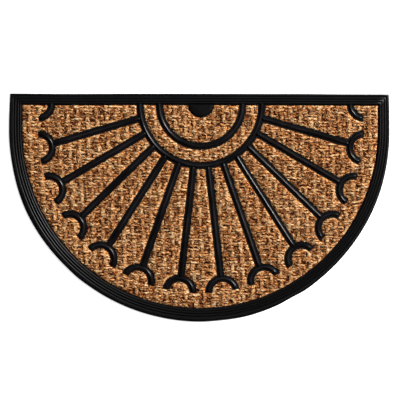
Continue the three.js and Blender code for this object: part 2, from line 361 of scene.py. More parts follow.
def crescent_places():
    """Each crescent's centre, the direction that it opens in, and whether a spoke reaches it."""
    radius = CRESCENTS["row_radius"]
    quarter = radius * math.pi / 2
    places = []
    for i in range(CRESCENTS["count"]):
        along = (i - (CRESCENTS["count"] - 1) / 2) * CRESCENTS["pitch"]
        on_arc = min(max(along, -quarter), quarter)
        opens = -90 + math.degrees(on_arc / radius)
        turn = math.radians(opens)
        x = RIB_AXIS_X + radius * math.cos(turn)
        y = MOULD_CENTRE[1] + radius * math.sin(turn) + abs(along - on_arc)
        places.append({"centre": (x, y), "opens": opens, "spoked": 0 < i < CRESCENTS["count"] - 1})
    return places


def back_angle(centre, radius, runs_on):
    """How many degrees past level an arc goes before it meets the border along the back."""
    return math.degrees(math.asin((COIR_BACK_Y + runs_on - centre[1]) / radius))


def spoke_ends(centre):
    """From the outer ring's middle to the crescent's, along a line from the fan point."""
    fan, ring = Vector(FAN_POINT), Vector(RING_CENTRE)
    along = (Vector(centre) - fan).normalized()
    to_ring = ring - fan
    nearest = to_ring.dot(along)
    start = nearest + math.sqrt(RING_RADII[-1] ** 2 - to_ring.length_squared + nearest**2)
    end = (Vector(centre) - fan).length - CRESCENTS["radius"]
    return fan + along * start, fan + along * end, along


def rib_paths(runs_on, half_span, nose):
    """Every rib's path with the ends that are free, which a bead rounds off over its nose."""
    paths = []
    for radius in RING_RADII:
        past = back_angle(RING_CENTRE, radius, runs_on)
        paths.append((*arc(RING_CENTRE, radius, -180 - past, past), False, False))
    for place in crescent_places():
        centre, middle = place["centre"], place["opens"] + 180
        start, end = middle - half_span, middle + half_span
        past = None
        if not place["spoked"]:
            past = back_angle(centre, CRESCENTS["radius"], runs_on)
        if past is not None and place["opens"] > -90:
            start = 180 - past
        elif past is not None:
            end = past
        free_start = past is None or place["opens"] < -90
        free_end = past is None or place["opens"] > -90
        paths.append((*arc(centre, CRESCENTS["radius"], start, end), free_start, free_end))
        if place["spoked"]:
            first, last, along = spoke_ends(centre)
            inset = along * (BEAD["half"] - SPOKE_OVERLAP if nose else 0)
            paths.append((*straight(first + inset, last - inset), True, True))
    return paths


def path_mesh(name, paths, height, nose):
    """The paths as chains of edges, each point with the share of its full thickness."""
    points, edges, thickness = [], [], []
    for at, length, free_start, free_end in paths:
        steps = np.linspace(0, length, max(3, round(length / PATH_STEP)))
        near = nose * np.array(NOSE_STEPS) if nose else np.array([])
        places = np.unique(np.concatenate([steps, near, length - near]))
        xy = at(places / length)
        start = len(points)
        points += [(*p, height) for p in xy]
        edges += [(start + i, start + i + 1) for i in range(len(places) - 1)]
        rest = np.full(len(places), 1.0)
        for free, gone in ((free_start, places), (free_end, length - places)):
            if free and nose:
                rest = np.minimum(rest, np.sqrt(1 - (1 - np.clip(gone / nose, NOSE_STEPS[0], 1)) ** 2))
        thickness += rest.tolist()
    made = mesh_object(name, points, edges=edges)
    made.data.attributes.new("thickness", "FLOAT", "POINT").data.foreach_set("value", thickness)
    return made


def section_mesh(name, corners):
    """A closed section from (side, height) corners, in the way up that a sweep needs."""
    points = [(side, -height, 0) for side, height in reversed(corners)]
    return mesh_object(name, points, edges=[(i, (i + 1) % len(points)) for i in range(len(points))])


# Geometry Nodes


def new_tree(name, **inputs):
    """A geometry tree with named inputs, and the sockets that bring them into it."""
    tree = bpy.data.node_groups.new(name, "GeometryNodeTree")
    kinds = {float: "NodeSocketFloat", int: "NodeSocketInt", object: "NodeSocketObject"}
    tree.interface.new_socket("Geometry", in_out="INPUT", socket_type="NodeSocketGeometry")
    for label, kind in inputs.items():
        tree.interface.new_socket(label, in_out="INPUT", socket_type=kinds[kind])
    tree.interface.new_socket("Geometry", in_out="OUTPUT", socket_type="NodeSocketGeometry")
    entry = tree.nodes.new("NodeGroupInput")
    return tree, {s.name: s for s in entry.outputs if s.name}


def end_tree(tree, geometry, material):
    """Realizes what the tree made, gives it its material, smooth but for its creases, and leads it out."""
    whole = add(tree, "GeometryNodeRealizeInstances", {"Geometry": geometry})
    dressed = add(tree, "GeometryNodeSetMaterial", {"Geometry": whole, "Material": material})
    smooth = add(tree, "GeometryNodeSetShadeSmooth", {"Geometry": dressed, "Shade Smooth": True})
    angle = add(tree, "GeometryNodeInputMeshEdgeAngle", output="Unsigned Angle")
    sharp = add(tree, "FunctionNodeCompare", {"A": angle, "B": CREASE}, operation="GREATER_THAN")
    creased = add(
        tree,
        "GeometryNodeSetShadeSmooth",
        {"Geometry": smooth, "Selection": sharp, "Shade Smooth": False},
        domain="EDGE",
    )
    tree.links.new(creased, tree.nodes.new("NodeGroupOutput").inputs[0])


def remove(*objects):
    """Removes what was only needed on the way."""
    for each in objects:
        bpy.data.objects.remove(each)


def grow(tree, start, name, **inputs):
    """A new object whose plain mesh is what a tree makes from an object's mesh."""
    modifier = start.modifiers.new(tree.name, "NODES")
    modifier.node_group = tree
    for item in tree.interface.items_tree:
        if item.in_out == "INPUT" and item.name in inputs:
            modifier[item.identifier] = inputs[item.name]
    bpy.context.view_layer.update()
    grown = start.evaluated_get(bpy.context.evaluated_depsgraph_get())
    mesh = bpy.data.meshes.new_from_object(grown)
    mesh.validate()
    start.modifiers.clear()
    made = bpy.data.objects.new(name, mesh)
    bpy.context.scene.collection.objects.link(made)
    mesh.name = name
    return made


def in_fixed_order(made):
    """Rebuilds a mesh with its points and faces ordered by place, as a cut leaves them in any order."""
    old = made.data
    places = np.array([vertex.co for vertex in old.vertices])
    order = np.lexsort(places.T)
    rank = np.argsort(order).tolist()
    faces = []
    for polygon in old.polygons:
        corners = [rank[i] for i in polygon.vertices]
        first = corners.index(min(corners))
        faces.append(corners[first:] + corners[:first])
    new = bpy.data.meshes.new(old.name)
    new.from_pydata(places[order].tolist(), [], sorted(faces))
    new.materials.append(old.materials[0])
    new.shade_smooth()
    new.set_sharp_from_angle(angle=CREASE)
    values = {name: [each.value for each in old.attributes[name].data] for name in ("rise", "tint")}
    made.data = new
    mark(made, **{name: np.array(value)[order] for name, value in values.items()})
    return made


def position(tree):
    """The place of the point being worked on."""
    return add(tree, "GeometryNodeInputPosition")


def sweep_tree(material):
    """Sweeps a section along chains of edges, as thick at each point as the point says."""
    tree, given = new_tree("sweep a section along paths", Section=object, Wobble=float)
    curve = add(tree, "GeometryNodeMeshToCurve", {"Mesh": given["Geometry"]})
    level = add(tree, "GeometryNodeSetCurveNormal", {"Curve": curve}, mode="Z_UP")
    outline = add(tree, "GeometryNodeObjectInfo", {"Object": given["Section"]}, "Geometry")
    section = add(tree, "GeometryNodeMeshToCurve", {"Mesh": outline})
    thickness = add(tree, "GeometryNodeInputNamedAttribute", {"Name": "thickness"}, data_type="FLOAT")
    swept = add(
        tree,
        "GeometryNodeCurveToMesh",
        {"Curve": level, "Profile Curve": section, "Scale": thickness, "Fill Caps": True},
    )
    noise = add(tree, "ShaderNodeTexNoise", {"Scale": BEAD_WAVER["scale"], "Detail": 1.0}, "Color")
    centred = add(tree, "ShaderNodeVectorMath", {0: noise, 1: (0.5, 0.5, 0.5)}, operation="SUBTRACT")
    offset = add(tree, "ShaderNodeVectorMath", {0: centred, "Scale": given["Wobble"]}, operation="SCALE")
    moved = add(tree, "GeometryNodeSetPosition", {"Geometry": swept, "Offset": offset})
    end_tree(tree, moved, material)
    return tree


def moulding_tree(material):
    """Joins a body with every separate shell of its floors, beads and hub into one solid."""
    tree, given = new_tree("join into one moulding", Floors=object, Beads=object, Hub=object)
    parts = [given["Geometry"]]
    for label in ("Floors", "Beads", "Hub"):
        parts.append(add(tree, "GeometryNodeObjectInfo", {"Object": given[label]}, "Geometry"))
    joined = tree.nodes.new("GeometryNodeJoinGeometry")
    for part in parts:
        tree.links.new(part, joined.inputs[0])
    island = add(tree, "GeometryNodeInputMeshIsland", output="Island Index")
    apart = add(
        tree,
        "GeometryNodeSplitToInstances",
        {"Geometry": joined.outputs[0], "Group ID": island},
        domain="FACE",
    )
    union = add(tree, "GeometryNodeMeshBoolean", {"Mesh": apart}, operation="UNION", solver="MANIFOLD")
    end_tree(tree, union, material)
    return tree


# Materials


def linear(colour):
    """An sRGB hex colour as linear red, green, blue and alpha."""
    parts = [int(colour[i : i + 2], 16) / 255 for i in (0, 2, 4)]
    return [p / 12.92 if p <= 0.04045 else ((p + 0.055) / 1.055) ** 2.4 for p in parts] + [1.0]


def new_material(name, **shader_values):
    """A material with one Principled shader, whose even values are set on its own sockets."""
    material = bpy.data.materials.new(name)
    material.use_nodes = True
    tree = material.node_tree
    tree.nodes.clear()
    shader = tree.nodes.new("ShaderNodeBsdfPrincipled")
    for label, value in shader_values.items():
        shader.inputs[label.replace("_", " ")].default_value = value
    output = tree.nodes.new("ShaderNodeOutputMaterial")
    tree.links.new(shader.outputs[0], output.inputs["Surface"])
    return material, tree, shader


def ramp(tree, value, stops):
    """A colour ramp with (place, sRGB hex) stops."""
    colour = add(tree, "ShaderNodeValToRGB", {"Fac": value}, "Color")
    elements = colour.node.color_ramp.elements
    while len(elements) < len(stops):
        elements.new(1.0)
    for element, (place, hex_colour) in zip(elements, stops):
        element.position = place
        element.color = linear(hex_colour)
    return colour


def per_metre(size_mm):
    """The scale of a noise whose features are about this size."""
    return 1.0 / (size_mm * MM)


def moulded_rubber():
    """Black styrene rubber, press-moulded: low gloss, but polished on the round beads, and greyer on their
    crowns with a painted sheen.

    Clouds of bloom tint it, patches left by the press make it glossier or duller, and a grain, drawn
    coarser than the real one so that it shows, breaks up its reflections.
    """
    material, tree, shader = new_material(
        "Press-moulded black rubber", IOR=1.5, Metallic=0.0, Specular_IOR_Level=0.2
    )
    place = add(tree, "ShaderNodeTexCoord", output="Object")
    polish = add(tree, "ShaderNodeAttribute", attribute_name="polish", output="Fac")
    size = {name: per_metre(RUBBER_FACE[name]) for name in ("cloud", "patch", "grain")}
    cloud = add(tree, "ShaderNodeTexNoise", {"Vector": place, "Scale": size["cloud"], "Detail": 4.0})
    # Bloom clouds the colour, and a painted sheen greys the bead crowns.
    bloom_and_painted_sheen = add(
        tree, "ShaderNodeMath", {0: polish, 1: SHEEN_AND_POLISH["painted_sheen"], 2: cloud}, operation="MULTIPLY_ADD"
    )
    tree.links.new(ramp(tree, bloom_and_painted_sheen, RUBBER_COLOURS), shader.inputs["Base Color"])
    patches = add(tree, "ShaderNodeTexNoise", {"Vector": place, "Scale": size["patch"], "Detail": 5.0})
    dull = add(
        tree,
        "ShaderNodeMath",
        {0: polish, 1: SHEEN_AND_POLISH["rougher"], 2: RUBBER_ROUGHNESS["moulded"]},
        operation="MULTIPLY_ADD",
    )
    rough = add(
        tree, "ShaderNodeMath", {0: patches, 1: RUBBER_ROUGHNESS["patchy"], 2: dull}, operation="MULTIPLY_ADD"
    )
    tree.links.new(rough, shader.inputs["Roughness"])
    grain = add(tree, "ShaderNodeTexNoise", {"Vector": place, "Scale": size["grain"], "Detail": 6.0})
    depth = RUBBER_FACE["depth"] * MM
    bump = add(tree, "ShaderNodeBump", {"Height": grain, "Strength": 0.3, "Distance": depth})
    tree.links.new(bump, shader.inputs["Normal"])
    return material


def coir(name, stretch, pale=0.0):
    """Coconut fibre: golden brown, matt and dry, with painted shade: darker low between the yarns and
    brighter on top.

    Two noises give its strands and wisps, the wisps drawn out along the mat by the stretch. Both are coarser
    than real fibres, which would not show. Pale is the share of fibre that sun and feet have bleached.
    """
    material, tree, shader = new_material(
        name, IOR=1.5, Roughness=0.85, Metallic=0.0, Specular_IOR_Level=0.25
    )
    place = add(tree, "ShaderNodeTexCoord", output="Object")
    short = add(tree, "ShaderNodeVectorMath", {0: place, 1: STRANDS["stretch"]}, operation="MULTIPLY")
    fine = {"Vector": short, "Scale": per_metre(STRANDS["size"]), "Detail": 3.0}
    along = add(tree, "ShaderNodeVectorMath", {0: place, 1: stretch}, operation="MULTIPLY")
    broad = {"Vector": along, "Scale": per_metre(WISPS["size"]), "Detail": 2.0}
    layers = {
        "strands": add(tree, "ShaderNodeTexNoise", fine),
        "wisps": add(tree, "ShaderNodeTexNoise", broad),
        "tint": add(tree, "ShaderNodeAttribute", attribute_name="tint", output="Fac"),
        "rise": add(tree, "ShaderNodeAttribute", attribute_name="rise", output="Fac"),
    }
    share = 0.5 - sum(shade["weight"] * shade["even"] for shade in COIR_SHADES.values())
    for layer, shade in COIR_SHADES.items():
        share = add(
            tree, "ShaderNodeMath", {0: layers[layer], 1: shade["weight"], 2: share}, operation="MULTIPLY_ADD"
        )
    colours = {"Factor": pale, "A": ramp(tree, share, COIR_COLOURS), "B": linear(BLEACHED_COIR)}
    bleached = add(tree, "ShaderNodeMix", colours, data_type="RGBA")
    tree.links.new(bleached, shader.inputs["Base Color"])
    lumps = add(tree, "ShaderNodeBump", {"Height": layers["wisps"], "Distance": WISPS["depth"] * MM})
    bump = add(
        tree,
        "ShaderNodeBump",
        {"Height": layers["strands"], "Normal": lumps, "Distance": STRANDS["depth"] * MM},
    )
    tree.links.new(bump, shader.inputs["Normal"])
    return material


# The rubber moulding


def border_rows():
    """The backing sheet and border, as lines with heights, with every ridge rounded."""
    outline = cut_outline()
    rows = [(outline, 0.0), (outline, CUT_EDGE), (mould_line(SHOULDER["out"]), SHOULDER["z"])]
    for ridge in RIDGES:
        for i in range(RIDGE["steps"] + 1):
            across = 1 - 2 * i / RIDGE["steps"]
            sink = RIDGE["rise"] * abs(across) ** RIDGE["power"]
            rows.append((mould_line(ridge["out"] + RIDGE["half"] * across), ridge["top"] - sink))
    rows.append((mould_line(TROUGH_OUT), CHANNEL_FLOOR))
    rows.append((mould_line(GAP), CHANNEL_FLOOR))
    rows.append((mould_line(GAP), BACKING_TOP))
    return rows


def circle_cut_at_back(radius):
    """A circle round the hub's middle, cut straight where the coir's back line crosses it."""
    turn = np.linspace(0, 2 * math.pi, HUB["steps"], endpoint=False)
    y = RING_CENTRE[1] + radius * np.sin(turn)
    return np.stack([RING_CENTRE[0] + radius * np.cos(turn), np.minimum(y, COIR_BACK_Y - GAP)], 1)


def hub_rows():
    """The hub from the backing up, with its upper edge rounded off, as lines with heights."""
    return [
        (circle_cut_at_back(HUB["foot"]), BACKING_TOP),
        (circle_cut_at_back(HUB["foot"]), CHANNEL_FLOOR),
        (circle_cut_at_back(HUB["shoulder"]), HUB_TOP - HUB_DROP["shoulder"]),
        (circle_cut_at_back(HUB["bevel"]), HUB_TOP - HUB_DROP["bevel"]),
        (circle_cut_at_back(HUB["plateau"]), HUB_TOP),
    ]


def bead_section():
    """A bead's section: a rounded top, and below the channel's floor the lower half of an ellipse."""
    corners = []
    for i in range(BEAD["sides"]):
        turn = 2 * math.pi * i / BEAD["sides"]
        up = math.sin(turn)
        height = BEAD["rise"] * up ** BEAD["power"] if up > 0 else BEAD["below"] * up
        corners.append((BEAD["half"] * math.cos(turn), height))
    return corners


def make_rubber():
    """The whole moulding: border and backing, channel floors, hub and beads, joined."""
    material = moulded_rubber()
    sweep = sweep_tree(material)
    body = loft("backing and border", border_rows())
    half = CHANNEL_WIDTH / 2 - GAP
    low = BACKING_TOP / 2 - CHANNEL_FLOOR
    slot = section_mesh("channel section", [(half, low), (half, 0), (-half, 0), (-half, low)])
    floor_paths = rib_paths(FLOOR_RUNS_ON, CRESCENTS["channel_half_span"], 0)
    channel_line = path_mesh("channel paths", floor_paths, CHANNEL_FLOOR, 0)
    floors = grow(sweep, channel_line, "floors", Section=slot, Wobble=0.0)
    round_top = section_mesh("bead section", bead_section())
    bead_paths = rib_paths(BEAD_RUNS_ON, CRESCENTS["bead_half_span"], BEAD["nose"])
    bead_line = path_mesh("bead paths", bead_paths, CHANNEL_FLOOR, BEAD["nose"])
    beads = grow(sweep, bead_line, "beads", Section=round_top, Wobble=BEAD_WAVER["amount"] * MM)
    heights = np.array([point.co.z for point in beads.data.vertices]) / MM
    # Painted sheen and polishing: full on a bead's crown, none below the crown's depth.
    mark(beads, polish=np.clip(1 - (BEAD_TOP - heights) / CROWN, 0, 1))
    hub_foot = circle_cut_at_back(HUB["channel"] - GAP)
    hub_floor = loft("hub floor", [(hub_foot, BACKING_TOP / 2), (hub_foot, CHANNEL_FLOOR)])
    both = join("hub with floor", [hub_floor, loft("hub", hub_rows())])
    rubber = grow(moulding_tree(material), body, "rubber_moulding", Floors=floors, Beads=beads, Hub=both)
    remove(body, floors, beads, both, slot, round_top, channel_line, bead_line)
    return rubber


def join(name, objects):
    """One object from several meshes."""
    bm = bmesh.new()
    for each in objects:
        bm.from_mesh(each.data)
        bpy.data.objects.remove(each)
    return object_from(bm, name)


# The coir


def coir_bed(material):
    """The matting below the yarns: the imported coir's own outline, with its top let down."""
    bm = bmesh.new()
    for name in COIR_NODES:
        bm.from_mesh(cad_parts[name].data)
    bmesh.ops.remove_doubles(bm, verts=bm.verts, dist=WELD * MM)
    for vert in bm.verts:
        if vert.co.z > BED["top"] * MM:
            vert.co.z = BED["top"] * MM
    bed = object_from(bm, "coir_bed")
    bed.data.materials.append(material)
    # The low rise and tint paint the bed dark, as shade between the yarns.
    mark(bed, rise=BED["rise"], tint=BED["tint"])
    return bed


def mark(made, **values):
    """Gives every point of a mesh a value, or each its own, under a name."""
    for name, value in values.items():
        attribute = made.data.attributes.new(name, "FLOAT", "POINT")
        attribute.data.foreach_set("value", np.broadcast_to(value, len(attribute.data)).astype("f"))


def underside(mesh):
    """Only the faces of a mesh that look down, as a bmesh."""
    bm = bmesh.new()
    bm.from_mesh(mesh)
    bm.normal_update()
    bmesh.ops.delete(bm, geom=[f for f in bm.faces if f.normal.z > FACES_DOWN], context="FACES")
    return bm


def yarn_cutter(bed):
    """A block with the bed's outline, moved inwards, which the yarns are cut to."""
    bm = underside(bed.data)
    bmesh.ops.translate(bm, verts=bm.verts, vec=(0, 0, -YARN_CUT["below"] * MM))
    lifted = bmesh.ops.extrude_face_region(bm, geom=bm.faces[:])["geom"]
    top = [v for v in lifted if isinstance(v, bmesh.types.BMVert)]
    bmesh.ops.translate(bm, verts=top, vec=(0, 0, YARN_CUT["height"] * MM))
    bmesh.ops.recalc_face_normals(bm, faces=bm.faces)
    bm.normal_update()
    for vert in bm.verts:
        outwards = Vector((vert.normal.x, vert.normal.y, 0))
        vert.co -= outwards.normalized() * YARN_CUT["inside"] * MM
    return object_from(bm, "cutter")


def outline_of(bed):
    """The outline of the bed's underside as bare edges at the height of the floor."""
    bm = underside(bed.data)
    inner = [e for e in bm.edges if len(e.link_faces) == 2]
    bmesh.ops.delete(bm, geom=inner, context="EDGES")
    bmesh.ops.delete(bm, geom=bm.faces[:], context="FACES_ONLY")
    for vert in bm.verts:
        vert.co.z = 0
    return object_from(bm, "outline")


def over_bed(tree, bed, outline):
    """Whether coir lies below the point being worked on, and where and how far off the coir's edge is.

    A ray of 2 m, from 1 m up, finds the coir at any height.
    """
    here = add(tree, "ShaderNodeVectorMath", {0: position(tree), 1: (1, 1, 0)}, operation="MULTIPLY")
    above = add(tree, "ShaderNodeVectorMath", {0: here, 1: (0, 0, 1)}, operation="ADD")
    inside = add(
        tree,
        "GeometryNodeRaycast",
        {"Target Geometry": bed, "Source Position": above, "Ray Direction": (0, 0, -1), "Ray Length": 2.0},
        "Is Hit",
    )
    nearest = add(
        tree,
        "GeometryNodeProximity",
        {"Geometry": outline, "Sample Position": here},
        "Position",
        target_element="EDGES",
    )
    return inside, nearest, nearest.node.outputs["Distance"]


def pressed_in(tree, geometry, bed, outline):
    """Presses the top down towards the coir's outline, and draws what hangs out back to it."""
    height = add(tree, "ShaderNodeSeparateXYZ", {"Vector": position(tree)}, "Z")
    inside, nearest, distance = over_bed(tree, bed, outline)
    depth = add(tree, "ShaderNodeMath", {0: distance, 1: inside}, operation="MULTIPLY")
    near = add(
        tree,
        "ShaderNodeMapRange",
        {"Value": depth, "From Max": EDGE_EASE["width"] * MM, "To Min": 1.0, "To Max": 0.0},
    )
    pressed = add(tree, "ShaderNodeMath", {0: near, 1: EDGE_EASE["power"]}, operation="POWER")
    squeeze = add(
        tree,
        "ShaderNodeMapRange",
        {"Value": pressed, "To Min": 1.0, "To Max": EDGE_EASE["height_kept"]},
    )
    # The rise paints shade by height: low in the weave the coir is darker, and near the cut edge this painted
    # shade is lifted a little.
    above = add(tree, "ShaderNodeMath", {0: height, 1: BED["top"] * MM}, operation="SUBTRACT")
    risen = add(
        tree, "ShaderNodeMapRange", {"Value": above, "From Max": (COIR_TOP - BED["top"]) * MM}
    )
    rise = add(
        tree, "ShaderNodeMath", {0: pressed, 1: EDGE_EASE["painted_shade_lifted"], 2: risen}, operation="MULTIPLY_ADD"
    )
    marked = add(
        tree, "GeometryNodeStoreNamedAttribute", {"Geometry": geometry, "Name": "rise", "Value": rise}
    )
    lowered = add(
        tree, "ShaderNodeMath", {0: above, 1: squeeze, 2: BED["top"] * MM}, operation="MULTIPLY_ADD"
    )
    held = add(tree, "ShaderNodeMath", {0: lowered, 1: LOWEST_YARN * MM}, operation="MAXIMUM")
    down = add(tree, "ShaderNodeMath", {0: held, 1: height}, operation="SUBTRACT")
    outside = add(tree, "ShaderNodeMath", {0: 1.0, 1: inside}, operation="SUBTRACT")
    shift = add(tree, "ShaderNodeVectorMath", {0: nearest, 1: position(tree)}, operation="SUBTRACT")
    level = add(tree, "ShaderNodeVectorMath", {0: shift, 1: (1, 1, 0)}, operation="MULTIPLY")
    back = add(tree, "ShaderNodeVectorMath", {0: level, "Scale": outside}, operation="SCALE")
    drop = add(tree, "ShaderNodeCombineXYZ", {"Z": down})
    offset = add(tree, "ShaderNodeVectorMath", {0: back, 1: drop}, operation="ADD")
    return add(tree, "GeometryNodeSetPosition", {"Geometry": marked, "Offset": offset})


def shaken(tree, geometry, what):
    """Moves points about along X, Y and Z by the noise for what they belong to."""
    shake = SHAKES[what]
    start = (shake["seed"], 0, 0)
    place = add(tree, "ShaderNodeVectorMath", {0: position(tree), 1: start}, operation="ADD")
    scale = per_metre(shake["size"])
    noise = add(tree, "ShaderNodeTexNoise", {"Vector": place, "Scale": scale, "Detail": 2.0}, "Color")
    centred = add(tree, "ShaderNodeVectorMath", {0: noise, 1: (0.5, 0.5, 0.5)}, operation="SUBTRACT")
    most = tuple(2 * amount * MM for amount in shake["most"])
    offset = add(tree, "ShaderNodeVectorMath", {0: centred, 1: most}, operation="MULTIPLY")
    return add(tree, "GeometryNodeSetPosition", {"Geometry": geometry, "Offset": offset})


def drawn(tree, draw):
    """A random number, or three of them, between the draw's low and high ends."""
    data_type = "FLOAT_VECTOR" if isinstance(draw["low"], tuple) else "FLOAT"
    ends = {"Min": draw["low"], "Max": draw["high"], "Seed": draw["seed"]}
    return add(tree, "FunctionNodeRandomValue", ends, data_type=data_type)


def yarn_float(tree, yarn, section):
    """One stretch of two-ply yarn between two dips: humped, thinner at its ends and twisted."""
    half = yarn["length"] / 2 * MM
    line = add(tree, "GeometryNodeCurvePrimitiveLine", {"Start": (-half, 0, 0), "End": (half, 0, 0)})
    fine = add(tree, "GeometryNodeResampleCurve", {"Curve": line, "Count": yarn["steps"] + 1})
    along = add(tree, "GeometryNodeSplineParameter", output="Factor")
    centred = add(tree, "ShaderNodeMapRange", {"Value": along, "To Min": -1.0, "To Max": 1.0})
    size = add(tree, "ShaderNodeMath", {0: centred}, operation="ABSOLUTE")
    bowed = add(tree, "ShaderNodeMath", {0: size, 1: HUMP["power"]}, operation="POWER")
    sink = add(tree, "ShaderNodeMath", {0: bowed, 1: -yarn["dive"] * MM}, operation="MULTIPLY")
    offset = add(tree, "ShaderNodeCombineXYZ", {"Z": sink})
    humped = add(tree, "GeometryNodeSetPosition", {"Geometry": fine, "Offset": offset})
    level = add(tree, "GeometryNodeSetCurveNormal", {"Curve": humped}, mode="Z_UP")
    turned = add(tree, "ShaderNodeMath", {0: along, 1: 2 * math.pi * yarn["turns"]}, operation="MULTIPLY")
    twisted = add(tree, "GeometryNodeSetCurveTilt", {"Curve": level, "Tilt": turned})
    profile = add(tree, "GeometryNodeMeshToCurve", {"Mesh": section})
    taper = add(tree, "ShaderNodeMapRange", {"Value": bowed, "To Min": 1.0, "To Max": HUMP["end_size"]})
    rope = add(
        tree,
        "GeometryNodeCurveToMesh",
        {"Curve": twisted, "Profile Curve": profile, "Scale": taper, "Fill Caps": True},
    )
    flat = (1.0, 1.0, yarn["height"] / yarn["width"])
    return add(tree, "GeometryNodeTransform", {"Geometry": rope, "Scale": flat})


def weave_tree(material, yarn):
    """Stretches of yarn at their places, each a little off, cut where the coir is cut."""
    tree, given = new_tree(
        "weave of " + material.name, Bed=object, Outline=object, Cutter=object, Section=object, Turn=float
    )
    bed, outline, cutter, section = (
        add(tree, "GeometryNodeObjectInfo", {"Object": given[label]}, "Geometry")
        for label in ("Bed", "Outline", "Cutter", "Section")
    )
    inside, _, distance = over_bed(tree, bed, outline)
    reach = yarn["length"] / 2 * MM
    close = add(tree, "FunctionNodeCompare", {"A": distance, "B": reach}, operation="LESS_THAN")
    chosen = add(tree, "FunctionNodeBooleanMath", {0: inside, 1: close}, operation="OR")
    points = add(tree, "GeometryNodeMeshToPoints", {"Mesh": given["Geometry"], "Selection": chosen})
    wandering = shaken(tree, shaken(tree, points, "rows of yarn"), "single yarns")
    askew = drawn(tree, YARN_DRAWS["turn"])
    turn = add(tree, "ShaderNodeMath", {0: askew, 1: given["Turn"]}, operation="ADD")
    euler = add(tree, "ShaderNodeCombineXYZ", {"Z": turn})
    size = drawn(tree, YARN_DRAWS["size"])
    floats = add(
        tree,
        "GeometryNodeInstanceOnPoints",
        {"Points": wandering, "Instance": yarn_float(tree, yarn, section), "Rotation": euler, "Scale": size},
    )
    tint = drawn(tree, YARN_DRAWS["tint"])
    tinted = add(
        tree,
        "GeometryNodeStoreNamedAttribute",
        {"Geometry": floats, "Name": "tint", "Value": tint},
        domain="INSTANCE",
    )
    whole = add(tree, "GeometryNodeRealizeInstances", {"Geometry": tinted})
    rough = shaken(tree, whole, "yarn surface")
    cut = tree.nodes.new("GeometryNodeMeshBoolean")
    cut.operation = "INTERSECT"
    cut.solver = "MANIFOLD"
    for part in (rough, cutter):
        tree.links.new(part, next(i for i in cut.inputs if i.enabled and i.is_multi_input))
    end_tree(tree, pressed_in(tree, cut.outputs[0], bed, outline), material)
    return tree


def weave_points(name, yarn, parity):
    """The middles of every stretch of yarn that the weave could have, in every other cell."""
    last_column = round(RIM_RADIUS / WARP_PITCH) + SPARE_CELLS
    last_row = round(BACK_EDGE_Y / WEFT_PITCH / 2) + SPARE_CELLS
    columns, rows = np.arange(-last_column, last_column + 1), np.arange(-last_row, last_row + 1)
    column, row = (a.ravel() for a in np.meshgrid(columns, rows))
    wanted = (column + row) % 2 == parity
    column, row = column[wanted], row[wanted]
    points = []
    for i in range(yarn["abreast"]):
        off_middle = (i - (yarn["abreast"] - 1) / 2) * WEFT_PITCH
        x, y = column * WARP_PITCH, (row + 0.5) * 2 * WEFT_PITCH + off_middle
        z = np.full(len(x), YARN_CREST - yarn["sunk"] - yarn["height"] / 2)
        points.append(np.column_stack([x + WARP_LEAN * y, y, z]))
    return mesh_object(name, np.concatenate(points))


def ply_section(name, width):
    """The section of two plies laid together, waisted between them."""
    corners = []
    for i in range(PLY["sides"]):
        turn = 2 * math.pi * i / PLY["sides"]
        reach = width / 2 * (1 - PLY["waist"] * (1 - math.cos(2 * turn)) / 2)
        corners.append((reach * math.cos(turn), reach * math.sin(turn)))
    return section_mesh(name, corners)


def one_fibre(tree):
    """A bent fibre, lifted in the middle of its length."""
    half, drop = FIBRE["length"] / 2 * MM, FIBRE["end_drop"] * MM
    bent = add(
        tree,
        "GeometryNodeCurveQuadraticBezier",
        {
            "Resolution": FIBRE["steps"],
            "Start": (-half, 0, -drop),
            "Middle": (0, half * FIBRE["bend"], 2 * FIBRE["rise"] * MM),
            "End": (half, 0, -drop),
        },
    )
    circle = add(
        tree,
        "GeometryNodeCurvePrimitiveCircle",
        {"Resolution": FIBRE["sides"], "Radius": FIBRE["radius"] * MM},
        mode="RADIUS",
    )
    return add(tree, "GeometryNodeCurveToMesh", {"Curve": bent, "Profile Curve": circle, "Fill Caps": True})


